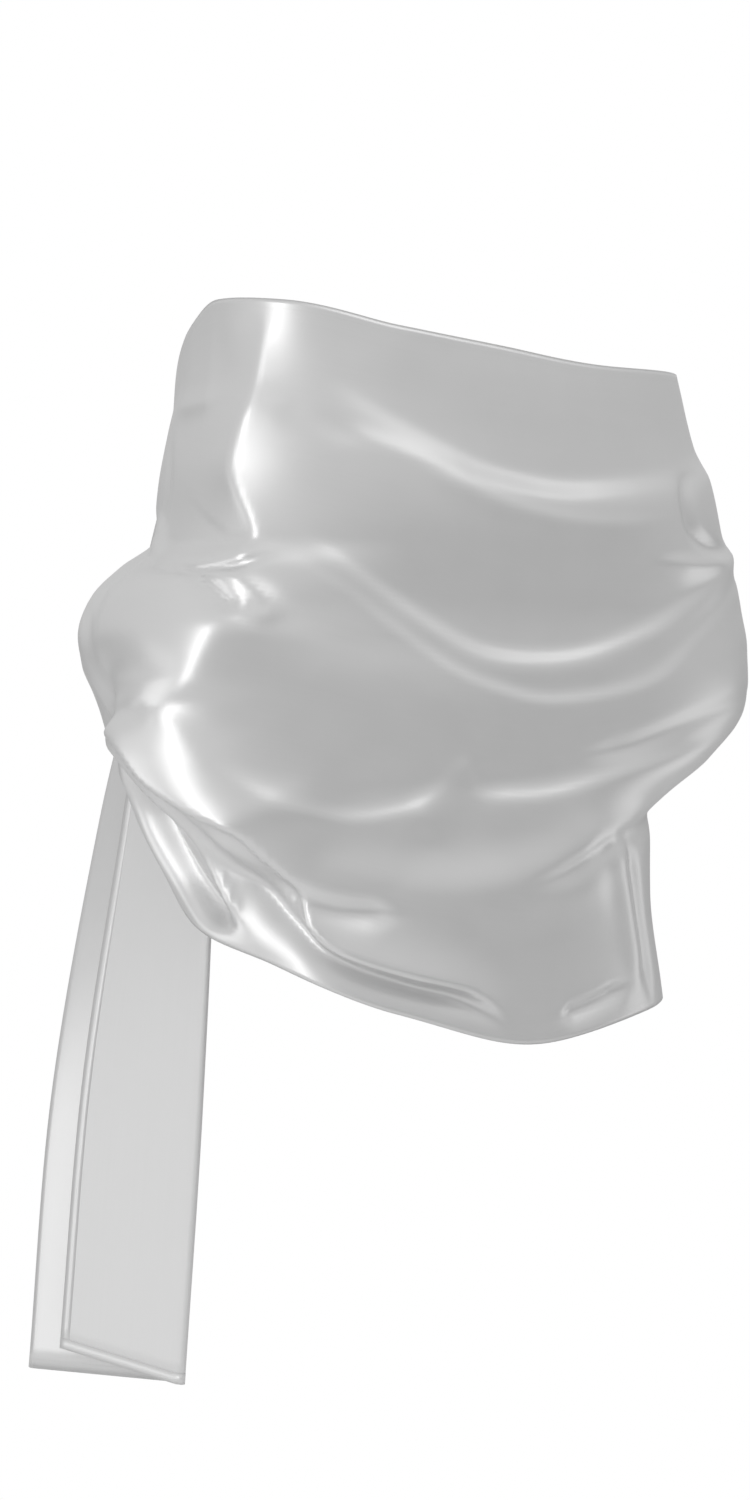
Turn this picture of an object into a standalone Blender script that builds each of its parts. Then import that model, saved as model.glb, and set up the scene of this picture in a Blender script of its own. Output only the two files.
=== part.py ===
"""Evening stole of satin, worn off the shoulders and held up by the wearer's arms.

The cloth is one rectangle. It runs from its right end round the right arm, across the back, round the
left arm, over the left forearm and down into a hanging end that is folded lengthwise.
Metres, +Z up. The wearer faces -Y, so the back is at +Y and the wearer's left is at +X. The origin is
on the body's axis at the height of the stole's upper edge, where the arms hold it.
"""

import bpy
import math
import numpy as np

# Driving sizes
LENGTH = 1.80
WIDTH = 0.70
CLOTH = 0.0012
SEAM = 0.0003
HEM_WIDTH = 0.009
HEM_CLOTH = 0.0010
HEM_GAP = 0.0010
HEM_START = 0.0010
HEM_ROW = 0.0110
EDGE_COLUMN = 0.0030
PANEL_POINTS = 4
SECTION_POINTS = 41
SILVER = (0.62, 0.63, 0.64, 1.0)
HEM_SILVER = (0.50, 0.51, 0.52, 1.0)
ROUGHNESS = 0.32
METALLIC = 0.35

# The rounded form that the cloth is wrapped round, level by level
# height, half width on the left, half width on the right, depth behind the axis, depth ahead of it
LEVELS = (
    ("above the edge", 0.020, 0.236, 0.222, 0.125, 0.105),
    ("upper edge", -0.040, 0.238, 0.227, 0.130, 0.108),
    ("upper arm", -0.125, 0.247, 0.255, 0.140, 0.118),
    ("crook", -0.212, 0.257, 0.280, 0.150, 0.130),
    ("forearm", -0.245, 0.300, 0.293, 0.154, 0.138),
    ("elbow", -0.285, 0.320, 0.301, 0.158, 0.145),
    ("under the elbow", -0.340, 0.300, 0.295, 0.163, 0.150),
    ("pouch", -0.385, 0.290, 0.250, 0.165, 0.150),
    ("waist", -0.435, 0.262, 0.182, 0.165, 0.148),
    ("hip", -0.500, 0.235, 0.180, 0.163, 0.148),
    ("below the hem", -0.650, 0.215, 0.205, 0.160, 0.150),
)
CORNER = 2.9
DEPTH_CHANGE = 12

# The wrapped stretch: distance along the cloth, then the bearing and height of its upper edge and hem.
# A bearing is in degrees from the middle of the back, positive towards the wearer's left.
WRAP = (
    ("right end", 0.00, -158.0, -0.105, -156.0, -0.545),
    ("right front", 0.10, -135.0, -0.085, -132.0, -0.560),
    ("right side", 0.24, -102.0, -0.060, -100.0, -0.575),
    ("right elbow", 0.36, -72.0, -0.048, -70.0, -0.585),
    ("right back", 0.48, -40.0, -0.051, -40.0, -0.599),
    ("spine", 0.62, 0.0, -0.041, 0.0, -0.621),
    ("left back", 0.76, 39.0, -0.028, 38.0, -0.592),
    ("left corner", 0.84, 64.0, -0.009, 64.0, -0.552),
    ("left side", 0.90, 82.0, -0.004, 84.0, -0.515),
    ("left elbow", 0.97, 100.0, -0.036, 99.0, -0.378),
)

# The left elbow's cloth just before it goes over the forearm: share of the width, and place
FOREARM_SIDE = (
    ("upper edge", 0.00, 0.218, -0.060, -0.108),
    ("crook", 0.22, 0.248, -0.078, -0.200),
    ("puff top", 0.45, 0.276, -0.098, -0.250),
    ("puff", 0.75, 0.283, -0.115, -0.310),
    ("hem", 1.00, 0.262, -0.125, -0.352),
)
FOREARM_SIDE_ALONG = 1.04

# The hanging end: distance along the cloth, the place of the fold nearest the back, the heading and
# downward tip of the panels, the heading and rise of the stack of layers, its spacing and its spread
FALL = (
    ("over the forearm", 1.12, 0.238, -0.050, -0.236, -88.0, -13.0, 250.0, 84.0, 0.0080, 0.95),
    ("inner turn", 1.155, 0.210, -0.050, -0.246, -86.0, -10.0, 200.0, 52.0, 0.0090, 0.95),
    ("inside the forearm", 1.20, 0.192, -0.050, -0.290, -83.0, -5.0, 212.0, 12.0, 0.0100, 0.95),
    ("below the elbow", 1.34, 0.186, -0.050, -0.440, -77.0, 0.0, 235.0, 0.0, 0.0095, 0.98),
    ("half way", 1.57, 0.198, -0.050, -0.680, -60.0, 0.0, 238.0, 0.0, 0.0100, 1.00),
    ("left end", 1.80, 0.216, -0.050, -0.918, -57.0, 0.0, 240.0, 0.0, 0.0110, 1.00),
)
# Widths of the folded panels, from the lower long edge to the upper one
PANELS = (0.103, 0.143, 0.136, 0.134, 0.130)
FREE_EDGE_RISE = 0.022
TURN_STEPS = 8
TYPICAL_SPACING = 0.009

# The broad folds: how far the crest stands out (or a hollow lies in), its reach above and below, how
# crisp it is, how far it droops, and its route as bearings and heights, from the wearer's left to the right
FOLDS = (
    ("corner of the back and the arm", 0.0085, 0.030, 0.028, 0.7, 0.000,
     ((69, -0.040), (69, -0.075), (68, -0.098), (71, -0.124), (71.5, -0.150), (68.5, -0.170),
      (66, -0.190), (65, -0.206), (67, -0.216), (75, -0.221), (92, -0.214))),
    ("elbow's ridge", 0.0120, 0.030, 0.026, 0.4, 0.000,
     ((60, -0.246), (64, -0.272), (67, -0.300), (70, -0.326), (77, -0.344), (85, -0.353), (94, -0.357))),
    ("flare under the elbow", 0.0320, 0.060, 0.018, 0.0, 0.000,
     ((98, -0.344), (90, -0.358), (83, -0.385), (76, -0.418), (66, -0.456), (56, -0.490))),
    ("flap by the hem", 0.0200, 0.034, 0.040, 0.0, 0.000,
     ((104, -0.370), (96, -0.400), (92, -0.440), (86, -0.480), (76, -0.520), (60, -0.555))),
    ("lower roll", 0.0140, 0.036, 0.014, 0.4, 0.004,
     ((94, -0.350), (85, -0.363), (80, -0.381), (76, -0.403), (70, -0.424), (63, -0.442), (60, -0.462),
      (56, -0.490), (54, -0.518), (49, -0.538), (35, -0.558), (22, -0.570), (12, -0.588), (5, -0.612))),
    ("deep hollow by the hem", -0.0240, 0.014, 0.014, 0.1, 0.000,
     ((92, -0.352), (88, -0.400), (87, -0.438), (83, -0.476), (75, -0.512), (70, -0.528))),
    ("first swag", 0.0036, 0.014, 0.060, 0.1, 0.000,
     ((60, -0.098), (43, -0.128), (20, -0.154), (1, -0.165), (-18, -0.169), (-36, -0.163),
      (-52, -0.153), (-70, -0.138), (-95, -0.120))),
    ("first swag's hollow", -0.0045, 0.060, 0.016, 0.0, 0.000,
     ((56, -0.066), (39, -0.100), (13, -0.134), (-18, -0.148), (-46, -0.140), (-70, -0.112),
      (-95, -0.090))),
    ("second swag's hollow", -0.0026, 0.050, 0.014, 0.0, 0.000,
     ((58, -0.194), (52, -0.210), (40, -0.242), (27, -0.269), (12, -0.288), (-6, -0.293),
      (-24, -0.286), (-42, -0.264), (-54, -0.238), (-70, -0.200), (-95, -0.170))),
    ("second swag's lower roll", 0.0034, 0.014, 0.070, 0.1, 0.000,
     ((63, -0.212), (49, -0.249), (39, -0.281), (24, -0.315), (8, -0.332), (-8, -0.340), (-28, -0.334),
      (-43, -0.318), (-54, -0.284), (-70, -0.236), (-95, -0.200))),
    ("hollow of the back", -0.0060, 0.050, 0.024, 0.0, 0.000,
     ((70, -0.372), (58, -0.395), (36, -0.402), (10, -0.398), (-20, -0.386), (-50, -0.360),
      (-76, -0.335))),
    ("third swag on the right", 0.0040, 0.014, 0.040, 0.1, 0.000,
     ((22, -0.414), (8, -0.420), (-10, -0.417), (-32, -0.400), (-53, -0.380), (-76, -0.350))),
    ("fourth swag", 0.0095, 0.030, 0.045, 0.0, 0.000,
     ((66, -0.448), (49, -0.478), (35, -0.494), (16, -0.496), (-4, -0.482), (-14, -0.470),
      (-26, -0.450), (-46, -0.432))),
)
# The stretches of the cloth that show, each a node: where it starts and ends along the cloth, and how
# many columns of faces it has
STRETCHES = (
    ("right_front", 0.00, 0.20, 4),
    ("right_arm", 0.20, 0.42, 8),
    ("back", 0.42, 0.80, 18),
    ("left_arm", 0.80, 0.97, 12),
    ("left_forearm", 0.97, 1.22, 13),
    ("left_fall", 1.22, 1.80, 8),
)
# The folds fade out before the cloth leaves the arm, and over the ends of each, where they also narrow
FOLDS_END = 0.93
FOLD_END = 0.25
END_WIDTH = 0.5
# Reaches beyond which a fold is nothing, and the shape of a crease
FOLD_REACH = 4
CREASE_SLOPE = 1.8
CREASE_RADIUS = 0.1
# Points along a fold's route, and the distance over which the nearest of them are averaged
ROUTE_STEPS = 120
ROUTE_BLUR = 0.008
# One degree of bearing on the back, in metres
DEGREE = 0.0035


def smooth_table(rows, column, at, key=1):
    """A monotone cubic curve through one column of a table, read at the given places."""
    xs = np.array([row[key] for row in rows], float)
    ys = np.array([row[column] for row in rows], float)
    if xs[0] > xs[-1]:
        xs = xs[::-1]
        ys = ys[::-1]
    steps = np.diff(xs)
    slopes = np.diff(ys) / steps
    tangents = np.zeros(len(xs))
    tangents[0] = slopes[0]
    tangents[-1] = slopes[-1]
    for i in range(1, len(xs) - 1):
        if slopes[i - 1] * slopes[i] > 0:
            near = 2 * steps[i] + steps[i - 1]
            far = steps[i] + 2 * steps[i - 1]
            tangents[i] = (near + far) / (near / slopes[i - 1] + far / slopes[i])
    at = np.clip(np.asarray(at, float), xs[0], xs[-1])
    index = np.clip(np.searchsorted(xs, at, side="right") - 1, 0, len(steps) - 1)
    step = steps[index]
    t = (at - xs[index]) / step
    return (
        (2 * t**3 - 3 * t**2 + 1) * ys[index]
        + (t**3 - 2 * t**2 + t) * step * tangents[index]
        + (3 * t**2 - 2 * t**3) * ys[index + 1]
        + (t**3 - t**2) * step * tangents[index + 1]
    )


def ring(bearing, height):
    """Points of the rounded form at the given bearings and heights."""
    left, right, behind, ahead = (smooth_table(LEVELS, k, height) for k in (2, 3, 4, 5))
    sine = np.sin(np.radians(bearing))
    half_width = np.where(sine > 0, left, right)
    cosine = np.cos(np.radians(bearing))
    half_depth = ahead + (behind - ahead) / (1 + np.exp(-DEPTH_CHANGE * cosine))
    reach = (np.abs(sine / half_width) ** CORNER + np.abs(cosine / half_depth) ** CORNER) ** (-1 / CORNER)
    return np.stack([reach * sine, reach * cosine, height + 0 * reach], -1)


def smooth_path(points, count):
    """A smooth curve through a few points, as many points evenly spaced by number."""
    points = np.array(points, float)
    ends = np.vstack([2 * points[0] - points[1], points, 2 * points[-1] - points[-2]])
    at = np.linspace(0, len(points) - 1, count)
    i = np.minimum(at.astype(int), len(points) - 2)
    t = (at - i)[:, None]
    before, start, end, after = (ends[i + k] for k in range(4))
    return 0.5 * (
        2 * start
        + (end - before) * t
        + (2 * before - 5 * start + 4 * end - after) * t**2
        + (3 * start - before - 3 * end + after) * t**3
    )


def fold_relief(bearing, height):
    """How far the folds lift the cloth off the rounded form, and how far they let it down."""
    place = np.stack([bearing * DEGREE, height], -1)
    relief = np.zeros(place.shape[:-1])
    drop = np.zeros(place.shape[:-1])
    for name, crest, above, below, crisp, droop, route in FOLDS:
        path = smooth_path([(b * DEGREE, z) for b, z in route], ROUTE_STEPS)
        run = np.gradient(path, axis=0)
        run /= np.linalg.norm(run, axis=1)[:, None]
        reach = FOLD_REACH * max(above, below)
        close = np.all((place > path.min(0) - reach) & (place < path.max(0) + reach), axis=-1)
        offset = place[close][:, None, :] - path
        squared = (offset**2).sum(-1)
        weight = np.exp((squared.min(-1, keepdims=True) - squared) / ROUTE_BLUR**2)
        weight /= weight.sum(-1, keepdims=True)
        side = (weight * (offset[..., 0] * run[:, 1] - offset[..., 1] * run[:, 0])).sum(-1)
        share = (weight * np.linspace(0, 1, ROUTE_STEPS)).sum(-1)
        fade = np.clip(np.minimum(share, 1 - share) / FOLD_END, 0, 1)
        fade = fade * fade * (3 - 2 * fade)
        ratio = side / (np.where(side > 0, above, below) * (END_WIDTH + (1 - END_WIDTH) * fade))
        rounded = np.exp(-(ratio**2))
        creased = np.exp(-CREASE_SLOPE * (np.sqrt(ratio**2 + CREASE_RADIUS**2) - CREASE_RADIUS))
        profile = fade * ((1 - crisp) * rounded + crisp * creased)
        relief[close] += crest * profile
        drop[close] += droop * profile
    return relief, drop


def wrapped(along, share):
    """Points of the cloth where it is wrapped round the body, with its folds."""
    bearing = (1 - share) * smooth_table(WRAP, 2, along) + share * smooth_table(WRAP, 4, along)
    height = (1 - share) * smooth_table(WRAP, 3, along) + share * smooth_table(WRAP, 5, along)
    point = ring(bearing, height)
    relief, drop = fold_relief(bearing, height)
    outward = np.stack([np.sin(np.radians(bearing)), np.cos(np.radians(bearing)), 0 * height], -1)
    return point + outward * relief[..., None] - np.array([0, 0, 1.0]) * drop[..., None]


def direction(heading, rise):
    """A unit vector at this heading in plan and this rise, both in degrees."""
    heading = math.radians(heading)
    rise = math.radians(rise)
    return np.array([math.cos(heading) * math.cos(rise), math.sin(heading) * math.cos(rise), math.sin(rise)])


def panel_path(spacing, spread):
    """The folded end in plan: reach along the panels and depth in the stack, from the lower long edge."""
    turn = spacing / 2
    reach = PANELS[0] * spread
    heading = -1
    points = [(reach, 0.0)]
    for k, width in enumerate(PANELS[:-1]):
        reach += heading * width * spread
        for step in range(TURN_STEPS + 1):
            angle = math.pi * step / TURN_STEPS
            depth = k * spacing + turn * (1 - math.cos(angle))
            points.append((reach + heading * turn * math.sin(angle), depth))
        heading = -heading
    points.append((reach + heading * PANELS[-1] * spread, (len(PANELS) - 1) * spacing))
    return np.array(points)


def path_lengths(path):
    """Distance along a path at each of its points."""
    return np.concatenate([[0], np.cumsum(np.linalg.norm(np.diff(path, axis=0), axis=1))])


def folded(row, share):
    """Points of one section across the folded end."""
    name, along, x, y, height, heading, tip, stack_heading, rise, spacing, spread = row
    path = panel_path(spacing, spread)
    lengths = path_lengths(path)
    at = (1 - share) * lengths[-1]
    reach = np.interp(at, lengths, path[:, 0])
    depth = np.interp(at, lengths, path[:, 1])
    lift = FREE_EDGE_RISE * (along - FALL[0][1]) / (LENGTH - FALL[0][1])
    lift = lift * np.clip(reach / (PANELS[0] * spread), 0, 1) * np.clip(1 - depth / (0.5 * spacing), 0, 1)
    return (np.array([x, y, height]) + reach[..., None] * direction(heading, tip)
            + depth[..., None] * direction(stack_heading, rise) + lift[..., None] * np.array([0, 0, 1.0]))


def forearm_side(share):
    """Points of the section on the outer side of the forearm."""
    return np.stack([smooth_table(FOREARM_SIDE, k, share) for k in (2, 3, 4)], -1)


def stole(along, share):
    """The outer face of the whole stole: distance from its right end, and share of its width."""
    along, share = np.broadcast_arrays(np.asarray(along, float), np.asarray(share, float))
    knots = [WRAP[-3][1], WRAP[-2][1], WRAP[-1][1], FOREARM_SIDE_ALONG] + [row[1] for row in FALL]
    surface = wrapped(np.minimum(along, WRAP[-1][1]), share)
    late = along > knots[1]
    along = along[late]
    share = share[late]
    sections = [wrapped(np.full(share.shape, knot), share) for knot in knots[:3]]
    sections.append(forearm_side(share))
    sections += [folded(row, share) for row in FALL]
    knots = np.array(knots)
    sections = np.array(sections)
    i = np.clip(np.searchsorted(knots, along, side="right") - 1, 0, len(knots) - 2)
    step = (knots[i + 1] - knots[i])[:, None]
    t = (along - knots[i])[:, None] / step

    def section(k):
        return sections[np.clip(k, 0, len(knots) - 1), np.arange(len(i))]

    def slope(k):
        low = np.clip(k - 1, 0, len(knots) - 1)
        high = np.clip(k + 1, 0, len(knots) - 1)
        return (section(high) - section(low)) / (knots[high] - knots[low])[:, None]

    spanned = (
        (2 * t**3 - 3 * t**2 + 1) * section(i)
        + (t**3 - 2 * t**2 + t) * step * slope(i)
        + (3 * t**2 - 2 * t**3) * section(i + 1)
        + (t**3 - t**2) * step * slope(i + 1)
    )
    blend = np.clip((along - FOLDS_END) / (knots[2] - FOLDS_END), 0, 1)[:, None]
    blend = blend * blend * (3 - 2 * blend)
    surface[late] = surface[late] * (1 - blend) + spanned * blend
    return surface


def row_shares(along):
    """Shares of the width where a column has its rows: even on the body, at the turns on the folded end."""
    path = panel_path(TYPICAL_SPACING, 1.0)
    lengths = path_lengths(path)
    at = [0.0, HEM_ROW]
    for k in range(len(PANELS) - 1):
        first = 1 + (TURN_STEPS + 1) * k
        at += list(np.linspace(at[-1], lengths[first], PANEL_POINTS)[1:])
        at += [lengths[first + TURN_STEPS // 2], lengths[first + TURN_STEPS]]
    at += list(np.linspace(at[-1], lengths[-1] - HEM_ROW, PANEL_POINTS)[1:])
    at.append(lengths[-1])
    at_turns = 1 - np.array(at[::-1]) / lengths[-1]
    section = stole(along, np.linspace(0, 1, SECTION_POINTS))
    hem = HEM_ROW / np.linalg.norm(np.diff(section, axis=0), axis=1).sum()
    even = np.concatenate([[0], np.linspace(hem, 1 - hem, len(at) - 2), [1]])
    folded_over = np.clip((along - WRAP[-3][1]) / (FALL[0][1] - WRAP[-3][1]), 0, 1)
    shares = even + (at_turns - even) * folded_over
    shares[1] = hem
    shares[-2] = 1 - hem
    return shares


def fabric(name, colour):
    """Satin: a smooth, half glossy cloth."""
    material = bpy.data.materials.new(name)
    material.use_nodes = True
    shader = material.node_tree.nodes["Principled BSDF"]
    shader.inputs["Base Color"].default_value = colour
    shader.inputs["Roughness"].default_value = ROUGHNESS
    shader.inputs["Metallic"].default_value = METALLIC
    return material


def sheet_node(name, points, thickness, material):
    """A named solid: a grid whose points are moved to the given places, thickened inwards."""
    columns = points.shape[0] - 1
    rows = points.shape[1] - 1
    bpy.ops.mesh.primitive_grid_add(x_subdivisions=columns, y_subdivisions=rows, size=2.0)
    sheet = bpy.context.object
    sheet.name = name
    sheet.data.name = name
    for vertex in sheet.data.vertices:
        column = round((vertex.co.x + 1) / 2 * columns)
        row = round((vertex.co.y + 1) / 2 * rows)
        vertex.co = points[column, row]
    sheet.data.update()
    sheet.data.shade_smooth()
    wall = sheet.modifiers.new("wall", "SOLIDIFY")
    wall.thickness = thickness
    wall.offset = -1.0
    sheet.data.materials.append(material)
    for collection in sheet.users_collection:
        collection.objects.unlink(sheet)
    garment.objects.link(sheet)
    return sheet


def inner_points(sheet, points, depth):
    """The sheet's points moved along its normals, towards the inside of the cloth."""
    rows = points.shape[1]
    columns = points.shape[0]
    normals = np.array([vertex.normal for vertex in sheet.data.vertices])
    normals = normals.reshape(rows, columns, 3).swapaxes(0, 1)
    return points - normals * depth


def hem_strip(edge, inner, start, end):
    """Two rows of points between a sheet's edge and the next row, for a strip of this start and end."""
    step = np.linalg.norm(inner - edge, axis=-1)[:, None]
    return np.stack([edge + (inner - edge) * start / step, edge + (inner - edge) * end / step], 1)


for thing in list(bpy.data.objects):
    bpy.data.objects.remove(thing)
garment = bpy.data.collections.new("evening_stole")
bpy.context.scene.collection.children.link(garment)
satin = fabric("silver satin", SILVER)
hem_satin = fabric("hem satin", HEM_SILVER)

# The stretches of cloth, with a seam's gap between each and the next
inner = []
for name, start, end, columns in STRETCHES:
    first = start + (SEAM / 2 if start > 0 else 0)
    last = end - (SEAM / 2 if end < LENGTH else 0)
    along = np.linspace(first, last, columns + 1)
    along = np.insert(along, 1, first + (EDGE_COLUMN if start > 0 else HEM_ROW))
    along = np.insert(along, -1, last - (EDGE_COLUMN if end < LENGTH else HEM_ROW))
    shares = np.array([row_shares(column) for column in along])
    points = stole(along[:, None], shares)
    sheet = sheet_node(name, points, CLOTH, satin)
    inner.append(inner_points(sheet, points, CLOTH + HEM_GAP))

# The hems, each a narrow strip on the cloth's inner side
upper = np.concatenate([points[:-1, :2] for points in inner[:-1]] + [inner[-1][:, :2]])
lower = np.concatenate([points[:-1, -2:] for points in inner[:-1]] + [inner[-1][:, -2:]])
top = hem_strip(upper[:, 0], upper[:, 1], HEM_START, HEM_START + HEM_WIDTH)
bottom = hem_strip(lower[:, 1], lower[:, 0], HEM_START, HEM_START + HEM_WIDTH)
sheet_node("top_hem", top, HEM_CLOTH, hem_satin)
sheet_node("bottom_hem", bottom[:, ::-1], HEM_CLOTH, hem_satin)

for name, points, edge, next_in in (("right_end_hem", inner[0], 0, 1), ("left_end_hem", inner[-1], -1, -2)):
    ends = hem_strip(points[edge], points[next_in], HEM_START, HEM_START + HEM_WIDTH)
    ends = np.swapaxes(ends, 0, 1)[:, 1:-1]
    sheet_node(name, ends if name == "right_end_hem" else ends[::-1], HEM_CLOTH, hem_satin)
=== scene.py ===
"""Evening stole in silver-grey satin, worn off the shoulders: the looks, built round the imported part.

Metres, +Z up. The wearer faces -Y, so the back is at +Y and the wearer's left is at +X.
"""

import math

import bpy
import numpy as np
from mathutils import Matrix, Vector


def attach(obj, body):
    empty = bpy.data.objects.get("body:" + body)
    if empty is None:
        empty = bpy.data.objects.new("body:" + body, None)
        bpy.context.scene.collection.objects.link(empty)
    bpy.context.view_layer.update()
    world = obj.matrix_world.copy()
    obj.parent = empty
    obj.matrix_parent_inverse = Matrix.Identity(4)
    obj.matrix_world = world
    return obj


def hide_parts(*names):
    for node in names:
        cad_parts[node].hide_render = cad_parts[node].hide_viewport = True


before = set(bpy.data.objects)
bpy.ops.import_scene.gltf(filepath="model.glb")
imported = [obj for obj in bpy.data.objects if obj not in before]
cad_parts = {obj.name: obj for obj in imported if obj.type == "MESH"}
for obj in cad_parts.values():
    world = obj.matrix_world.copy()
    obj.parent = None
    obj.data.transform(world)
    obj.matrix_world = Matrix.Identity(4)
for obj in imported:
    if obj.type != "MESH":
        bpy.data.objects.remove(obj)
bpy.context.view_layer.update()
bpy.ops.object.select_all(action="DESELECT")


# ---------------------------------------------------------------------------------------------------
# The cloth. One rectangle of polyester satin, glossy outside and dull on its reverse. It lies round
# both upper arms and across the back in soft swags, passes over the left forearm and hangs from it,
# folded lengthwise. Nothing fastens it: the arms hold it up.

LENGTH = 1.80
WIDTH = 0.70
CLOTH = 0.0008

# The rounded form that the cloth is wrapped round, level by level
# height, half width on the left, half width on the right, depth behind the axis, depth ahead of it
LEVELS = (
    ("above the edge", 0.020, 0.221, 0.222, 0.128, 0.105),
    ("upper edge", -0.040, 0.222, 0.227, 0.134, 0.108),
    ("foot of the band", -0.070, 0.224, 0.235, 0.138, 0.111),
    ("under the band", -0.105, 0.232, 0.246, 0.143, 0.115),
    ("upper arm", -0.140, 0.239, 0.259, 0.148, 0.119),
    ("crook", -0.206, 0.248, 0.278, 0.154, 0.129),
    ("top of the puff", -0.230, 0.280, 0.288, 0.153, 0.134),
    ("forearm", -0.255, 0.303, 0.295, 0.152, 0.139),
    ("elbow", -0.286, 0.313, 0.301, 0.154, 0.145),
    ("under the elbow", -0.318, 0.304, 0.300, 0.159, 0.148),
    ("puff's foot", -0.342, 0.290, 0.294, 0.162, 0.150),
    ("pouch", -0.385, 0.280, 0.250, 0.165, 0.150),
    ("waist", -0.435, 0.256, 0.184, 0.163, 0.148),
    ("hip", -0.500, 0.233, 0.182, 0.165, 0.148),
    ("hem", -0.580, 0.223, 0.192, 0.171, 0.150),
    ("below the hem", -0.650, 0.217, 0.202, 0.176, 0.150),
)
# How square the form is in plan, where 2 would be an ellipse, and how sharply its depth changes sides
CORNER = 2.9
DEPTH_CHANGE = 12

# The wrapped stretch: distance along the cloth, then the bearing and height of its upper edge and hem.
# A bearing is in degrees from the middle of the back, positive towards the wearer's left.
WRAP = (
    ("right end", 0.00, -158.0, -0.105, -156.0, -0.545),
    ("right front", 0.10, -135.0, -0.085, -132.0, -0.560),
    ("right side", 0.24, -102.0, -0.060, -100.0, -0.575),
    ("right elbow", 0.36, -72.0, -0.048, -70.0, -0.585),
    ("right back", 0.48, -40.0, -0.051, -40.0, -0.599),
    ("spine", 0.62, 0.0, -0.041, 0.0, -0.621),
    ("left back", 0.76, 39.0, -0.028, 38.0, -0.592),
    ("left corner", 0.84, 64.0, -0.009, 64.0, -0.552),
    ("left side", 0.90, 82.0, -0.004, 84.0, -0.515),
    ("left elbow", 0.97, 100.0, -0.036, 99.0, -0.378),
)

# The left elbow's cloth just before it goes over the forearm: share of the width, and place
FOREARM_SIDE = (
    ("upper edge", 0.00, 0.216, -0.060, -0.108),
    ("upper arm", 0.30, 0.220, -0.072, -0.166),
    ("crook", 0.50, 0.224, -0.080, -0.206),
    ("top of the puff", 0.58, 0.240, -0.088, -0.228),
    ("puff's shoulder", 0.67, 0.258, -0.096, -0.254),
    ("puff", 0.82, 0.266, -0.108, -0.304),
    ("hem", 1.00, 0.246, -0.120, -0.352),
)
FOREARM_SIDE_ALONG = 1.04

# The hanging end: distance along the cloth, the place of the fold nearest the back, the heading and
# downward tip of the panels, the heading and rise of the stack of layers, its spacing and its spread,
# and how far the layers behind reach out past the front one, beyond what their widths give
FALL = (
    ("over the forearm", 1.12, 0.226, -0.056, -0.240, -97.0, -25.0, 200.0, 58.0, 0.0085, 0.86, 0.000),
    ("inner turn", 1.155, 0.204, -0.053, -0.250, -95.0, -19.0, 200.0, 48.0, 0.0090, 0.90, 0.000),
    ("inside the forearm", 1.20, 0.192, -0.050, -0.290, -90.0, -8.0, 212.0, 12.0, 0.0100, 0.95, 0.010),
    ("below the elbow", 1.34, 0.186, -0.050, -0.440, -77.0, 0.0, 235.0, 0.0, 0.0095, 0.98, 0.010),
    ("half way", 1.57, 0.198, -0.050, -0.680, -60.0, 0.0, 238.0, 0.0, 0.0100, 1.00, 0.006),
    ("left end", 1.80, 0.216, -0.050, -0.918, -57.0, 0.0, 240.0, 0.0, 0.0110, 1.00, 0.004),
)
# Widths of the folded panels, from the lower long edge to the upper one
PANELS = (0.118, 0.143, 0.134, 0.129, 0.122)
# How far the free corner of the front panel is lifted, and the steps and spacing of the turns
FREE_EDGE_RISE = 0.022
TURN_STEPS = 8
TYPICAL_SPACING = 0.009

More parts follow.
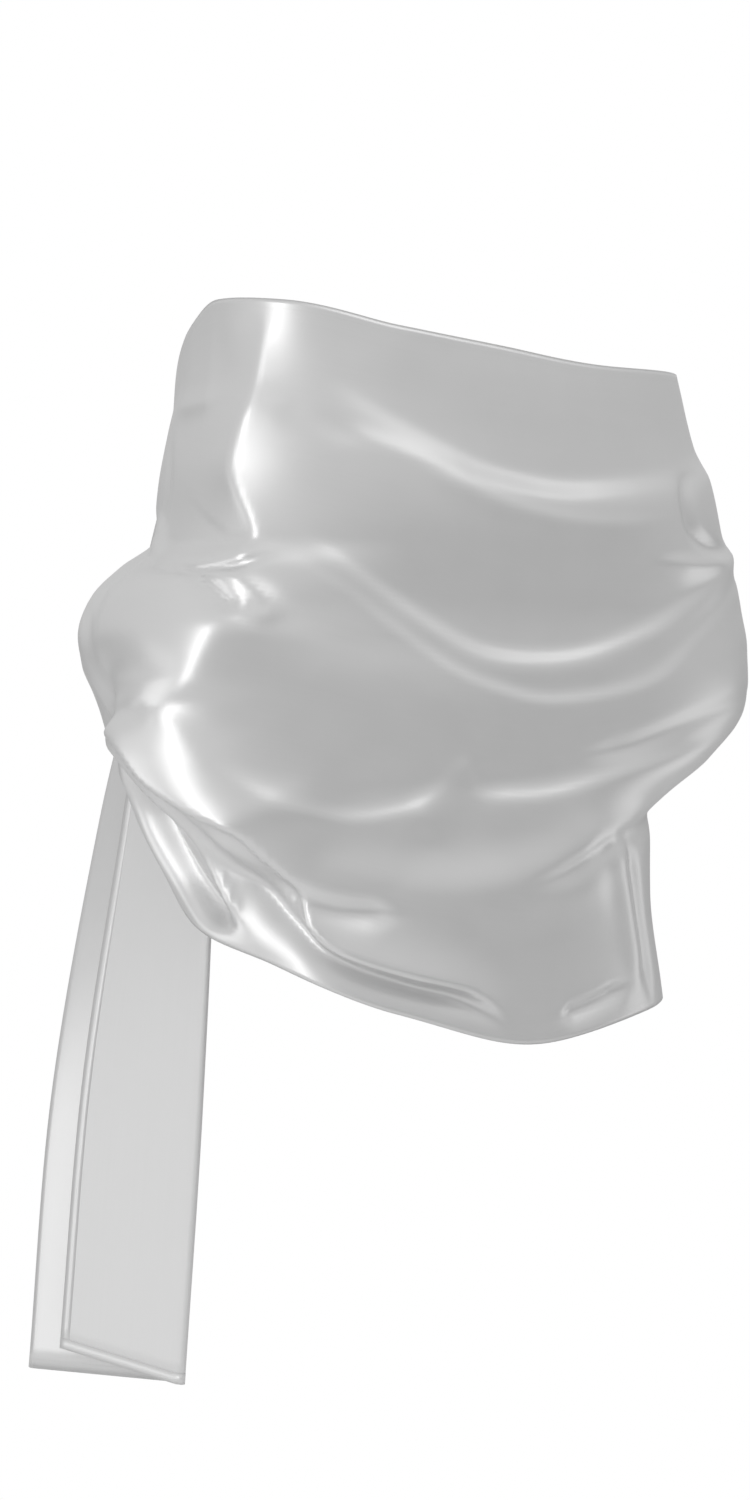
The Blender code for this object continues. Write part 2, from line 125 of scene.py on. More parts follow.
# The folds, from the wearer's left to the right: how far the crest stands out (or a hollow lies in),
# its reach above and below, how crisp it is (0 round, 1 a crease), how far it droops, and its route
# as bearings and heights. On a fold that runs downwards, above means towards the wearer's right.
FOLDS = (
    ("corner of the back and the arm", 0.0100, 0.024, 0.024, 0.7, 0.0,
     ((68, -0.010), (68.5, -0.050), (69, -0.092), (70.5, -0.120), (71, -0.146), (69, -0.168), (66, -0.190),
      (65, -0.206), (67, -0.2165), (75, -0.2205), (92, -0.214))),
    ("crook's lip", 0.0080, 0.016, 0.005, 0.2, 0.005,
     ((62, -0.213), (67, -0.216), (78, -0.2175), (92, -0.211), (108, -0.188))),
    ("crook's crease", -0.0120, 0.005, 0.012, 0.2, 0.0,
     ((62, -0.222), (67, -0.2270), (78, -0.2285), (92, -0.222), (108, -0.200))),
    ("slot under the crook", -0.0090, 0.005, 0.006, 0.3, 0.0,
     ((76, -0.228), (71, -0.240), (67, -0.255), (63, -0.270))),
    ("slot's rim", 0.0045, 0.006, 0.005, 0.3, 0.0, ((68, -0.232), (63, -0.246), (60, -0.262), (61, -0.278))),
    ("elbow's ridge", 0.0130, 0.030, 0.028, 0.3, 0.0,
     ((60, -0.240), (64, -0.268), (67, -0.298), (71, -0.328), (78, -0.348), (85, -0.358), (92, -0.364))),
    ("puff's foot", -0.0050, 0.012, 0.006, 0.1, 0.0,
     ((74, -0.3395), (80, -0.3455), (86, -0.3490), (93, -0.351))),
    ("flare under the elbow", 0.0300, 0.060, 0.020, 0.0, 0.0,
     ((96, -0.362), (88, -0.372), (82, -0.392), (76, -0.418), (66, -0.456), (56, -0.490))),
    ("flap by the hem", 0.0200, 0.034, 0.040, 0.0, 0.0,
     ((104, -0.370), (96, -0.400), (92, -0.440), (86, -0.480), (76, -0.520), (60, -0.555))),
    ("lower roll", 0.0165, 0.034, 0.007, 0.5, 0.004,
     ((94, -0.350), (85, -0.363), (80, -0.381), (76, -0.403), (70, -0.424), (63, -0.442), (60, -0.462),
      (56, -0.490), (54, -0.518), (49, -0.538), (35, -0.558), (22, -0.570), (12, -0.588), (5, -0.612))),
    ("gap under the lower roll", -0.0090, 0.007, 0.012, 0.1, 0.0,
     ((83, -0.386), (75, -0.430), (70, -0.460), (64, -0.492), (58, -0.520), (46, -0.554), (21, -0.584),
      (8, -0.608))),
    ("deep hollow by the hem", -0.0240, 0.012, 0.012, 0.1, 0.0,
     ((92, -0.352), (88, -0.400), (87, -0.438), (83, -0.476), (75, -0.512), (70, -0.528))),
    ("thin roll by the hem", 0.0070, 0.006, 0.006, 0.2, 0.0,
     ((86, -0.378), (78, -0.434), (73, -0.488), (70, -0.524))),
    ("first swag", 0.0036, 0.011, 0.060, 0.1, 0.0,
     ((60, -0.098), (43, -0.128), (20, -0.154), (1, -0.165), (-18, -0.169), (-36, -0.163),
      (-52, -0.153), (-70, -0.138), (-95, -0.120))),
    ("first swag's hollow", -0.0045, 0.060, 0.016, 0.0, 0.0,
     ((56, -0.066), (39, -0.100), (13, -0.134), (-18, -0.148), (-46, -0.140), (-70, -0.112),
      (-95, -0.090))),
    ("dimple under the first swag", -0.0012, 0.008, 0.010, 0.0, 0.0,
     ((64, -0.096), (56, -0.108), (46, -0.126))),
    ("first swag's second line", 0.0012, 0.006, 0.012, 0.0, 0.0,
     ((34, -0.146), (20, -0.160), (2, -0.176), (-18, -0.186), (-36, -0.186), (-54, -0.176))),
    ("second swag's hollow", -0.0026, 0.050, 0.012, 0.0, 0.0,
     ((58, -0.194), (52, -0.210), (40, -0.242), (27, -0.269), (12, -0.288), (-6, -0.293),
      (-24, -0.286), (-42, -0.264), (-54, -0.238), (-70, -0.200), (-95, -0.170))),
    ("second swag", 0.0026, 0.007, 0.016, 0.1, 0.0,
     ((60, -0.192), (50, -0.224), (40, -0.256), (27, -0.284), (12, -0.302), (-6, -0.306),
      (-24, -0.300), (-42, -0.280), (-54, -0.252), (-70, -0.212), (-95, -0.180))),
    ("second swag's lower roll", 0.0034, 0.007, 0.070, 0.1, 0.0,
     ((63, -0.212), (49, -0.249), (39, -0.281), (24, -0.315), (8, -0.332), (-8, -0.340), (-28, -0.334),
      (-43, -0.318), (-54, -0.284), (-70, -0.236), (-95, -0.200))),
    ("hollow of the back", -0.0060, 0.050, 0.024, 0.0, 0.0,
     ((70, -0.372), (58, -0.395), (36, -0.402), (10, -0.398), (-20, -0.386), (-50, -0.360), (-76, -0.335))),
    ("third swag's crease", -0.0035, 0.008, 0.008, 0.1, 0.0,
     ((-16, -0.384), (-32, -0.376), (-41, -0.367), (-56, -0.346), (-76, -0.320))),
    ("third swag on the right", 0.0040, 0.008, 0.040, 0.1, 0.0,
     ((22, -0.414), (8, -0.420), (-10, -0.417), (-32, -0.400), (-53, -0.380), (-76, -0.350))),
    ("third swag on the left", 0.0040, 0.008, 0.030, 0.1, 0.0,
     ((80, -0.332), (73, -0.356), (66, -0.396), (56, -0.426), (46, -0.436), (34, -0.428), (24, -0.408))),
    ("bright patch", 0.0030, 0.014, 0.024, 0.0, 0.0, ((36, -0.448), (26, -0.414), (16, -0.384))),
    ("fourth swag", 0.0095, 0.030, 0.045, 0.0, 0.0,
     ((66, -0.448), (49, -0.478), (35, -0.494), (16, -0.496), (-4, -0.482), (-14, -0.470), (-26, -0.450),
      (-46, -0.432))),
    ("crease under the fourth swag", -0.0050, 0.008, 0.014, 0.1, 0.0,
     ((6, -0.496), (-12, -0.479), (-24, -0.462), (-36, -0.449), (-56, -0.432), (-76, -0.420))),
    ("dimple above the hem, left", -0.0065, 0.008, 0.012, 0.0, 0.0,
     ((62, -0.478), (50, -0.503), (36, -0.512))),
    ("dimple above the hem, right", -0.0060, 0.006, 0.009, 0.0, 0.0,
     ((-8, -0.600), (-20, -0.590), (-34, -0.574))),
    ("curtain's fold", 0.0040, 0.016, 0.014, 0.0, 0.0, ((-28, -0.440), (-34, -0.500), (-37, -0.590))),
    ("curtain's hollow", -0.0040, 0.008, 0.012, 0.1, 0.0, ((-36, -0.448), (-41, -0.515), (-43, -0.600))),
    ("right elbow's pucker", -0.0060, 0.007, 0.007, 0.2, 0.0,
     ((-64, -0.132), (-56, -0.148), (-54, -0.170), (-56, -0.192), (-64, -0.204), (-76, -0.196))),
    ("right elbow's lip", 0.0060, 0.008, 0.012, 0.2, 0.0,
     ((-42, -0.216), (-56, -0.218), (-70, -0.205), (-88, -0.186))),
    ("sleeve under the band", 0.0035, 0.010, 0.050, 0.0, 0.0, ((78, -0.086), (90, -0.088), (112, -0.092))),
    ("outer arm's fold", -0.0030, 0.005, 0.006, 0.2, 0.0,
     ((101, -0.090), (95, -0.140), (95, -0.175), (99, -0.212))),
)
# Where along the cloth the folds give way to the span over the forearm
FOLDS_END = 0.93
# A fold fades over this share of its route, and narrows to this share of its width
FOLD_END = 0.25
END_WIDTH = 0.5
# Reaches past which a fold is nothing, and the slope and rounding of a crease
FOLD_REACH = 4
CREASE_SLOPE = 1.8
CREASE_RADIUS = 0.1
# A route's steps, how softly its sharp bends are read, and the metres that a degree stands for
ROUTE_STEPS = 120
ROUTE_BLUR = 0.008
DEGREE = 0.0035


def smooth_table(rows, column, at):
    """A monotone cubic curve through one column of a table, read at places in its second column."""
    xs = np.array([row[1] for row in rows], float)
    ys = np.array([row[column] for row in rows], float)
    if xs[0] > xs[-1]:
        xs = xs[::-1]
        ys = ys[::-1]
    steps = np.diff(xs)
    slopes = np.diff(ys) / steps
    tangents = np.zeros(len(xs))
    tangents[0] = slopes[0]
    tangents[-1] = slopes[-1]
    for i in range(1, len(xs) - 1):
        if slopes[i - 1] * slopes[i] > 0:
            near = 2 * steps[i] + steps[i - 1]
            far = steps[i] + 2 * steps[i - 1]
            tangents[i] = (near + far) / (near / slopes[i - 1] + far / slopes[i])
    at = np.clip(np.asarray(at, float), xs[0], xs[-1])
    index = np.clip(np.searchsorted(xs, at, side="right") - 1, 0, len(steps) - 1)
    step = steps[index]
    t = (at - xs[index]) / step
    return (
        (2 * t**3 - 3 * t**2 + 1) * ys[index]
        + (t**3 - 2 * t**2 + t) * step * tangents[index]
        + (3 * t**2 - 2 * t**3) * ys[index + 1]
        + (t**3 - t**2) * step * tangents[index + 1]
    )


def ring(bearing, height):
    """Points of the rounded form at the given bearings and heights."""
    left, right, behind, ahead = (smooth_table(LEVELS, k, height) for k in (2, 3, 4, 5))
    sine = np.sin(np.radians(bearing))
    half_width = np.where(sine > 0, left, right)
    cosine = np.cos(np.radians(bearing))
    half_depth = ahead + (behind - ahead) / (1 + np.exp(-DEPTH_CHANGE * cosine))
    reach = (np.abs(sine / half_width) ** CORNER + np.abs(cosine / half_depth) ** CORNER) ** (-1 / CORNER)
    return np.stack([reach * sine, reach * cosine, height + 0 * reach], -1)


def smooth_path(points, count):
    """A smooth curve through a few points, as many points evenly spaced by number."""
    points = np.array(points, float)
    ends = np.vstack([2 * points[0] - points[1], points, 2 * points[-1] - points[-2]])
    at = np.linspace(0, len(points) - 1, count)
    i = np.minimum(at.astype(int), len(points) - 2)
    t = (at - i)[:, None]
    before, start, end, after = (ends[i + k] for k in range(4))
    return 0.5 * (
        2 * start
        + (end - before) * t
        + (2 * before - 5 * start + 4 * end - after) * t**2
        + (3 * start - before - 3 * end + after) * t**3
    )


def fold_relief(bearing, height):
    """How far the folds lift the cloth off the rounded form, and how far they let it down."""
    place = np.stack([bearing * DEGREE, height], -1)
    relief = np.zeros(place.shape[:-1])
    drop = np.zeros(place.shape[:-1])
    for name, crest, above, below, crisp, droop, route in FOLDS:
        path = smooth_path([(b * DEGREE, z) for b, z in route], ROUTE_STEPS)
        run = np.gradient(path, axis=0)
        run /= np.linalg.norm(run, axis=1)[:, None]
        reach = FOLD_REACH * max(above, below)
        close = np.all((place > path.min(0) - reach) & (place < path.max(0) + reach), axis=-1)
        offset = place[close][:, None, :] - path
        squared = (offset**2).sum(-1)
        weight = np.exp((squared.min(-1, keepdims=True) - squared) / ROUTE_BLUR**2)
        weight /= weight.sum(-1, keepdims=True)
        side = (weight * (offset[..., 0] * run[:, 1] - offset[..., 1] * run[:, 0])).sum(-1)
        share = (weight * np.linspace(0, 1, ROUTE_STEPS)).sum(-1)
        fade = np.clip(np.minimum(share, 1 - share) / FOLD_END, 0, 1)
        fade = fade * fade * (3 - 2 * fade)
        ratio = side / (np.where(side > 0, above, below) * (END_WIDTH + (1 - END_WIDTH) * fade))
        rounded = np.exp(-(ratio**2))
        creased = np.exp(-CREASE_SLOPE * (np.sqrt(ratio**2 + CREASE_RADIUS**2) - CREASE_RADIUS))
        profile = fade * ((1 - crisp) * rounded + crisp * creased)
        relief[close] += crest * profile
        drop[close] += droop * profile
    return relief, drop


def wrapped(along, share, folds=True):
    """Points of the cloth where it is wrapped round the body, with its folds or without."""
    bearing = (1 - share) * smooth_table(WRAP, 2, along) + share * smooth_table(WRAP, 4, along)
    height = (1 - share) * smooth_table(WRAP, 3, along) + share * smooth_table(WRAP, 5, along)
    point = ring(bearing, height)
    if not folds:
        return point
    relief, drop = fold_relief(bearing, height)
    outward = np.stack([np.sin(np.radians(bearing)), np.cos(np.radians(bearing)), 0 * height], -1)
    return point + outward * relief[..., None] - np.array([0, 0, 1.0]) * drop[..., None]


def direction(heading, rise):
    """A unit vector at this heading in plan and this rise, both in degrees."""
    heading = math.radians(heading)
    rise = math.radians(rise)
    return np.array([math.cos(heading) * math.cos(rise), math.sin(heading) * math.cos(rise), math.sin(rise)])


def panel_path(spacing, spread, slide):
    """The folded end in plan: reach along the panels and depth in the stack, from the lower long edge."""
    turn = spacing / 2
    widths = (PANELS[0], PANELS[1] + slide, PANELS[2] + slide) + PANELS[3:]
    reach = widths[0] * spread
    heading = -1
    points = [(reach, 0.0)]
    for k, width in enumerate(widths[:-1]):
        reach += heading * width * spread
        for step in range(TURN_STEPS + 1):
            angle = math.pi * step / TURN_STEPS
            depth = k * spacing + turn * (1 - math.cos(angle))
            points.append((reach + heading * turn * math.sin(angle), depth))
        heading = -heading
    points.append((reach + heading * widths[-1] * spread, (len(PANELS) - 1) * spacing))
    return np.array(points)


def path_lengths(path):
    """Distance along a path at each of its points."""
    return np.concatenate([[0], np.cumsum(np.linalg.norm(np.diff(path, axis=0), axis=1))])


def folded(row, share):
    """Points of one section across the folded end."""
    name, along, x, y, height, heading, tip, stack_heading, rise, spacing, spread, slide = row
    path = panel_path(spacing, spread, slide)
    lengths = path_lengths(path)
    at = (1 - share) * lengths[-1]
    reach = np.interp(at, lengths, path[:, 0])
    depth = np.interp(at, lengths, path[:, 1])
    lift = FREE_EDGE_RISE * (along - FALL[0][1]) / (LENGTH - FALL[0][1])
    lift = lift * np.clip(reach / (PANELS[0] * spread), 0, 1) * np.clip(1 - depth / (0.5 * spacing), 0, 1)
    return (np.array([x, y, height]) + reach[..., None] * direction(heading, tip)
            + depth[..., None] * direction(stack_heading, rise) + lift[..., None] * np.array([0, 0, 1.0]))


def forearm_side(share):
    """Points of the section on the outer side of the forearm."""
    return np.stack([smooth_table(FOREARM_SIDE, k, share) for k in (2, 3, 4)], -1)


def stole(along, share):
    """The outer face of the whole stole: distance from its right end, and share of its width."""
    along, share = np.broadcast_arrays(np.asarray(along, float), np.asarray(share, float))
    knots = [WRAP[-3][1], WRAP[-2][1], WRAP[-1][1], FOREARM_SIDE_ALONG] + [row[1] for row in FALL]
    surface = wrapped(np.minimum(along, WRAP[-1][1]), share)
    late = along > knots[1]
    along = along[late]
    share = share[late]
    sections = [wrapped(np.full(share.shape, knot), share, False) for knot in knots[:3]]
    sections.append(forearm_side(share))
    sections += [folded(row, share) for row in FALL]
    knots = np.array(knots)
    sections = np.array(sections)
    i = np.clip(np.searchsorted(knots, along, side="right") - 1, 0, len(knots) - 2)
    step = (knots[i + 1] - knots[i])[:, None]
    t = (along - knots[i])[:, None] / step

    def section(k):
        return sections[np.clip(k, 0, len(knots) - 1), np.arange(len(i))]

    def slope(k):
        low = np.clip(k - 1, 0, len(knots) - 1)
        high = np.clip(k + 1, 0, len(knots) - 1)
        return (section(high) - section(low)) / (knots[high] - knots[low])[:, None]

    spanned = (
        (2 * t**3 - 3 * t**2 + 1) * section(i)
        + (t**3 - 2 * t**2 + t) * step * slope(i)
        + (3 * t**2 - 2 * t**3) * section(i + 1)
        + (t**3 - t**2) * step * slope(i + 1)
    )
    blend = np.clip((along - FOLDS_END) / (knots[2] - FOLDS_END), 0, 1)[:, None]
    blend = blend * blend * (3 - 2 * blend)
    surface[late] = surface[late] * (1 - blend) + spanned * blend
    return surface


# Rows and columns of the mesh: few on the plain front, many where the cloth is folded
COLUMNS = ((0.0, 0.36, 34), (0.36, 1.04, 196), (1.04, 1.25, 34), (1.25, LENGTH, 30))
PANEL_ROWS = 24
BLEND_FROM = 0.84
BLEND_TO = 1.12


def row_shares(along):
    """Shares of the width where a column has its rows: even on the body, closer at the folded turns."""
    path = panel_path(TYPICAL_SPACING, 1.0, 0.0)
    lengths = path_lengths(path)
    at = [0.0]
    for k in range(len(PANELS) - 1):
        first = 1 + (TURN_STEPS + 1) * k
        at += list(np.linspace(at[-1], lengths[first], PANEL_ROWS)[1:])
        at += list(lengths[first + 1:first + TURN_STEPS + 1])
    at += list(np.linspace(at[-1], lengths[-1], PANEL_ROWS)[1:])
    at_turns = 1 - np.array(at[::-1]) / lengths[-1]
    even = np.linspace(0, 1, len(at))
    folded_over = np.clip((along - BLEND_FROM) / (BLEND_TO - BLEND_FROM), 0, 1)
    return even + (at_turns - even) * folded_over


def grid_object(name, points, flat):
    """A named grid whose points are moved to the given places, with the flat cloth as its UV map."""
    columns = points.shape[0]
    rows = points.shape[1]
    bpy.ops.object.select_all(action="DESELECT")
    bpy.ops.mesh.primitive_grid_add(x_subdivisions=columns - 1, y_subdivisions=rows - 1, size=2.0)
    made = bpy.context.object
    made.name = name
    made.data.name = name
    made.data.vertices.foreach_set("co", points.swapaxes(0, 1).reshape(-1))
    made.data.update()
    made.data.shade_smooth()
    corners = np.empty(len(made.data.loops), np.int32)
    made.data.loops.foreach_get("vertex_index", corners)
    uv = flat.swapaxes(0, 1).reshape(-1, 2)[corners]
    made.data.uv_layers[0].data.foreach_set("uv", uv.reshape(-1))
    return made


def apply_wall(made, thickness, inner_material=0):
    """Gives a grid its wall, on the side away from its normals."""
    wall = made.modifiers.new("wall", "SOLIDIFY")
    wall.thickness = thickness
    wall.offset = -1.0
    wall.material_offset = inner_material
    bpy.ops.object.select_all(action="DESELECT")
    made.select_set(True)
    bpy.context.view_layer.objects.active = made
    bpy.ops.object.modifier_apply(modifier=wall.name)


class Signal:
    """A socket in a material's node tree, so that shader maths reads as arithmetic."""

    def __init__(self, tree, socket):
        self.tree = tree
        self.socket = socket

    def math(self, operation, *values):
        """A Math node on these values."""
        return make_node(self.tree, "ShaderNodeMath", {"operation": operation}, dict(enumerate(values)))

    def __add__(self, other):
        return self.math("ADD", self, other)

    def __sub__(self, other):
        return self.math("SUBTRACT", self, other)

    def __rsub__(self, other):
        return self.math("SUBTRACT", other, self)

    def __mul__(self, other):
        return self.math("MULTIPLY", self, other)

    __radd__ = __add__
    __rmul__ = __mul__


def plug(tree, value, socket):
    """Joins a signal to a socket, or sets the socket to a plain value."""
    if isinstance(value, Signal):
        tree.links.new(value.socket, socket)
    else:
        socket.default_value = value


def make_node(tree, kind, settings, inputs, output=0):
    """A node of any kind, with its settings and inputs, as the signal of one of its outputs."""
    node = tree.nodes.new(kind)
    for key, value in settings.items():
        setattr(node, key, value)
    for key, value in inputs.items():
        plug(tree, value, node.inputs[key])
    return Signal(tree, node.outputs[output])


def new_material(name):
    """An empty Principled material: its node tree and its shader's inputs."""
    material = bpy.data.materials.new(name)
    material.use_nodes = True
    tree = material.node_tree
    return material, tree, tree.nodes["Principled BSDF"].inputs


# How often each unevenness repeats in a metre, along the cloth and across it
SLUBS = (7.0, 900.0, 1.0)
THREADS = (900.0, 60.0, 1.0)
MOTTLE = (26.0, 26.0, 1.0)
RIPPLE = (34.0, 14.0, 1.0)
# How far they change the shade and the roughness, and how high they stand
SHADE_SPREAD = 0.03
MOTTLED_ROUGHNESS = 0.06
SLUBBED_ROUGHNESS = 0.04
THREAD_SHARE = 0.6
RIPPLE_HEIGHT = 0.00015


def stretched_noise(tree, place, scale, detail):
    """Noise from 0 to 1 on the flat cloth, scaled along and across it."""
    scaled = make_node(tree, "ShaderNodeVectorMath", {"operation": "MULTIPLY"}, {0: place, 1: scale})
    return make_node(tree, "ShaderNodeTexNoise", {}, {"Vector": scaled, "Scale": 1.0, "Detail": detail})


def satin_material(name, colour, roughness, metallic, weave_depth):
    """Polyester satin: long floats that shine, faint slubs along the threads, soft unevenness."""
    material, tree, inputs = new_material(name)
    place = make_node(tree, "ShaderNodeUVMap", {}, {})
    slubs = stretched_noise(tree, place, SLUBS, 2.0)
    threads = stretched_noise(tree, place, THREADS, 1.0)
    mottle = stretched_noise(tree, place, MOTTLE, 2.0)
    ripple = stretched_noise(tree, place, RIPPLE, 1.0)
    darker = tuple((1 - SHADE_SPREAD) * part for part in colour) + (1.0,)
    lighter = tuple((1 + SHADE_SPREAD) * part for part in colour) + (1.0,)
    shade = make_node(tree, "ShaderNodeMix", {"data_type": "RGBA"},
                      {0: slubs * 0.5 + mottle * 0.5, 6: darker, 7: lighter}, 2)
    plug(tree, shade, inputs["Base Color"])
    uneven = (mottle - 0.5) * MOTTLED_ROUGHNESS + (slubs - 0.5) * SLUBBED_ROUGHNESS
    plug(tree, uneven + roughness, inputs["Roughness"])
    inputs["Metallic"].default_value = metallic
    height = (slubs + threads * THREAD_SHARE) * weave_depth + ripple * RIPPLE_HEIGHT
    bump = make_node(tree, "ShaderNodeBump", {}, {"Strength": 1.0, "Distance": 1.0, "Height": height})
    plug(tree, bump, inputs["Normal"])
    return material


SILVER = (0.622, 0.622, 0.622)
DULL_SILVER = (0.602, 0.602, 0.602)
# Height of the weave: fine on the face, coarser on the reverse and on a pressed hem
FACE_WEAVE = 0.000004
REVERSE_WEAVE = 0.000012

satin_face = satin_material("silver satin, face", SILVER, 0.36, 0.55, FACE_WEAVE)
satin_reverse = satin_material("silver satin, reverse", DULL_SILVER, 0.48, 0.15, REVERSE_WEAVE)

columns = [np.linspace(start, end, count, endpoint=False) for start, end, count in COLUMNS]
columns = np.concatenate(columns + [[LENGTH]])
shares = np.array([row_shares(column) for column in columns])
face = stole(columns[:, None], shares)
flat = np.stack([np.broadcast_to(columns[:, None], shares.shape), (1 - shares) * WIDTH], -1)
cloth = grid_object("stole_cloth", face, flat)
normals = np.empty(len(cloth.data.vertices) * 3)
cloth.data.vertices.foreach_get("normal", normals)
normals = normals.reshape(face.shape[1], face.shape[0], 3).swapaxes(0, 1)
cloth.data.materials.append(satin_face)
cloth.data.materials.append(satin_reverse)
apply_wall(cloth, CLOTH, 1)
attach(cloth, "root")
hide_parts("right_front", "right_arm", "back", "left_arm", "left_forearm", "left_fall")


# ---------------------------------------------------------------------------------------------------
# The hems. Each edge of the satin is turned to the reverse, 9 mm wide, and held by one row of machine
# stitches in matching thread, each a short low ridge on the face of the cloth.

HEM_WIDTH = 0.009
HEM_CLOTH = 0.0005
HEM_LAP = 0.0001
HEM_ROLL = 0.0003
STITCH_IN = 0.0075
STITCH_PITCH = 0.0030
STITCH_LENGTH = 0.0022
STITCH_SINK = 0.00006
THREAD = 0.00016
THREAD_GREY = (0.56, 0.56, 0.56, 1.0)
# On a long edge, the way inward is read a few rows in, because single rows are close together
ROWS_IN = 3

hem_satin = satin_material("silver satin, hem", SILVER, 0.40, 0.35, REVERSE_WEAVE)


def moved_along(edge, inward, distance):
    """Points a distance in from an edge, measured along the cloth towards its next point."""
    step = np.linalg.norm(inward - edge, axis=-1)[:, None]
    return edge + (inward - edge) * distance / step


# Name, the edge, points further in, the cloth's normals, and whether the strip starts at its inner side
EDGES = (
    ("top_hem", face[:, 0], face[:, ROWS_IN], normals[:, 0], True),
    ("bottom_hem", face[:, -1], face[:, -1 - ROWS_IN], normals[:, -1], False),
    ("right_end_hem", face[0], face[1], normals[0], False),
    ("left_end_hem", face[-1], face[-2], normals[-1], True),
)
stitch_rows = []
for name, edge, inward, edge_normals, turned in EDGES:
    depth = edge_normals * (CLOTH + HEM_LAP)
    outer = moved_along(edge, inward, -HEM_ROLL) - depth
    inner = moved_along(edge, inward, HEM_WIDTH) - depth
    strip = np.stack([inner, outer] if turned else [outer, inner], 1)
    flat_edge = path_lengths(edge)
    flat_strip = np.stack([np.stack([flat_edge, 0 * flat_edge + v], -1) for v in (0, HEM_WIDTH)], 1)
    hem = grid_object("turned_" + name, strip, flat_strip)
    hem.data.materials.append(hem_satin)
    apply_wall(hem, HEM_CLOTH)
    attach(hem, "root")
    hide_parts(name)
    stitch_rows.append((name.replace("hem", "stitches"), moved_along(edge, inward, STITCH_IN), edge_normals))


def stitched_line(name, path, path_normals, material):
    """Machine stitches along a line on the cloth's face, as one mesh of short low ridges."""
    run = path_lengths(path)
    count = int(run[-1] / STITCH_PITCH)
    starts = (np.arange(count) + 0.5) * STITCH_PITCH - STITCH_LENGTH / 2
    ends = np.stack([[np.interp(starts + d, run, path[:, k]) for k in range(3)] for d in (0, STITCH_LENGTH)])
    ends = ends.transpose(0, 2, 1)
    outward = np.stack([np.interp(starts, run, path_normals[:, k]) for k in range(3)], -1)
    forward = ends[1] - ends[0]
    forward /= np.linalg.norm(forward, axis=1)[:, None]
    sideways = np.cross(outward, forward) * THREAD / 2
    foot = -outward * STITCH_SINK
    top = outward * THREAD / 2
    corners = [ends[0] + sideways + foot, ends[0] - sideways + foot, ends[0] + top + forward * THREAD,
               ends[1] + sideways + foot, ends[1] - sideways + foot, ends[1] + top - forward * THREAD]
    bpy.ops.object.select_all(action="DESELECT")
    bpy.ops.mesh.primitive_cylinder_add(vertices=3, radius=0.5, depth=1.0)
    made = bpy.context.object
    made.name = name
    made.data.name = name
    repeat = made.modifiers.new("repeat", "ARRAY")
    repeat.count = count
    repeat.use_relative_offset = True
    repeat.relative_offset_displace = (2.0, 0.0, 0.0)
    bpy.ops.object.modifier_apply(modifier=repeat.name)
    # A cylinder's points come in pairs, one at each end of the stitch, for its three corners in turn
    order = [0, 3, 1, 4, 2, 5]
    made.data.vertices.foreach_set("co", np.stack([corners[k] for k in order], 1).reshape(-1))
    made.data.update()
    made.data.materials.append(material)
    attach(made, "root")
    return made


thread, _, thread_inputs = new_material("silver thread")
thread_inputs["Base Color"].default_value = THREAD_GREY
thread_inputs["Roughness"].default_value = 0.5
stitches = [stitched_line(name, path, path_normals, thread) for name, path, path_normals in stitch_rows]


# ---------------------------------------------------------------------------------------------------
# The studio: a plain pale floor well below the stole, at the height where its wearer would stand, a
# white surround, a tall narrow light on the wearer's left, a broad one overhead, a weak fill on each
# side, and a camera behind the wearer.

FLOOR_HEIGHT = -1.33
FLOOR_RADIUS = 1.25
FLOOR_GREY = (0.92, 0.92, 0.92, 1.0)

floor_material, _, floor_inputs = new_material("pale floor")
floor_inputs["Base Color"].default_value = FLOOR_GREY
floor_inputs["Roughness"].default_value = 0.9
bpy.ops.object.select_all(action="DESELECT")
bpy.ops.mesh.primitive_circle_add(vertices=96, radius=FLOOR_RADIUS, fill_type="NGON",
                                  location=(0, 0, FLOOR_HEIGHT))
floor = bpy.context.object
floor.name = "floor"
floor.data.materials.append(floor_material)

# Brightness of the surround: straight down, straight up, and at shares of the height between them
BELOW = 0.68
ABOVE = 0.85
BETWEEN = ((0.32, 0.64), (0.47, 0.36), (0.65, 0.72))
WHITE = (1.0, 1.0, 1.0, 1.0)

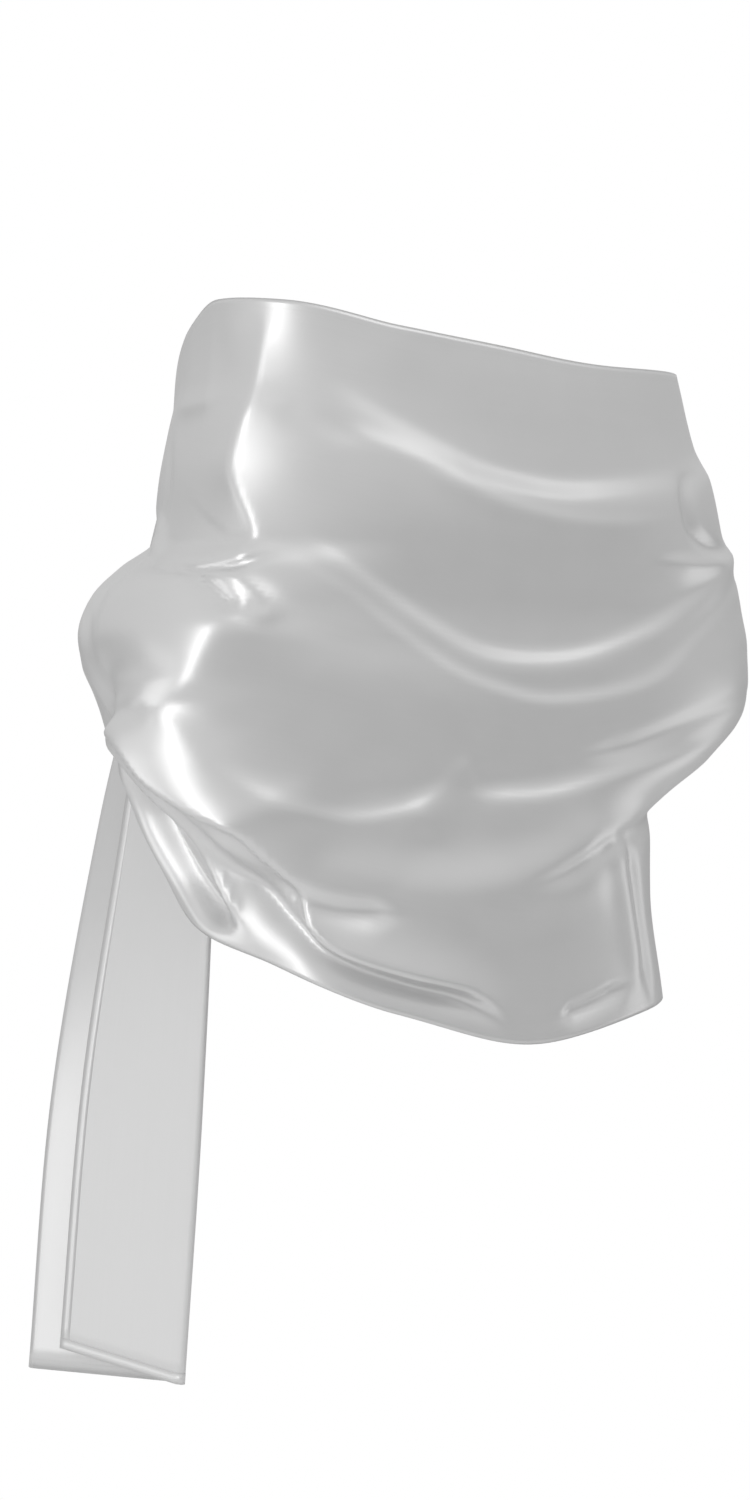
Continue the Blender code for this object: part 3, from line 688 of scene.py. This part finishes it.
bpy.context.scene.view_settings.view_transform = "Standard"
world = bpy.data.worlds.new("white studio")
bpy.context.scene.world = world
world.use_nodes = True
world_tree = world.node_tree
surround = make_node(world_tree, "ShaderNodeTexCoord", {}, {}, 0)
height = make_node(world_tree, "ShaderNodeSeparateXYZ", {}, {0: surround}, 2)
level = (height + 1.0) * 0.5
bright = make_node(world_tree, "ShaderNodeValToRGB", {}, {0: level})
ramp = bright.socket.node.color_ramp
ramp.elements[0].color = (BELOW, BELOW, BELOW, 1.0)
ramp.elements[1].color = (ABOVE, ABOVE, ABOVE, 1.0)
for position, grey in BETWEEN:
    ramp.elements.new(position).color = (grey, grey, grey, 1.0)
seen = make_node(world_tree, "ShaderNodeLightPath", {}, {}, 0)
sky = make_node(world_tree, "ShaderNodeMix", {"data_type": "RGBA"},
                {0: seen, 6: bright, 7: WHITE}, 2)
plug(world_tree, sky, world_tree.nodes["Background"].inputs["Color"])


LIGHT_TARGET = Vector((0, 0, -0.22))
LIGHT_DISTANCE = 2.4
# Name, bearing and rise in degrees, width and height, and watts
LIGHTS = (
    ("tall light", 60, 6, 0.42, 2.3, 15),
    ("left fill", 96, -12, 1.3, 1.5, 8),
    ("overhead light", -20, 50, 1.8, 1.2, 8),
    ("right fill", -75, -14, 1.2, 1.2, 3.5),
)


def area_light(name, bearing, rise, wide, high, watts):
    """A rectangular light at this bearing and rise from the middle of the back."""
    bearing = math.radians(bearing)
    rise = math.radians(rise)
    heading = Vector((math.sin(bearing) * math.cos(rise), math.cos(bearing) * math.cos(rise), math.sin(rise)))
    data = bpy.data.lights.new(name, "AREA")
    data.shape = "RECTANGLE"
    data.size = wide
    data.size_y = high
    data.energy = watts
    light = bpy.data.objects.new(name, data)
    light.location = LIGHT_TARGET + heading * LIGHT_DISTANCE
    light.rotation_euler = (-heading).to_track_quat("-Z", "Y").to_euler()
    bpy.context.collection.objects.link(light)


for light_row in LIGHTS:
    area_light(*light_row)

# The camera stands behind the wearer, 30 degrees round to the left, and just below elbow height
CAMERA_HEADING = Vector((0.5, 0.8660254, 0.0))
CAMERA_RIGHT = Vector((-0.8660254, 0.5, 0.0))
CAMERA_DISTANCE = 3.0
CAMERA_SHIFT = 0.0444
CAMERA_HEIGHT = -0.378

camera_data = bpy.data.cameras.new("camera")
camera_data.sensor_fit = "VERTICAL"
camera_data.sensor_height = 24.0
camera_data.lens = 55.17
camera = bpy.data.objects.new("camera", camera_data)
camera.location = CAMERA_HEADING * CAMERA_DISTANCE - CAMERA_RIGHT * CAMERA_SHIFT
camera.location.z = CAMERA_HEIGHT
camera.rotation_euler = (-CAMERA_HEADING).to_track_quat("-Z", "Y").to_euler()
bpy.context.collection.objects.link(camera)
bpy.context.scene.camera = camera
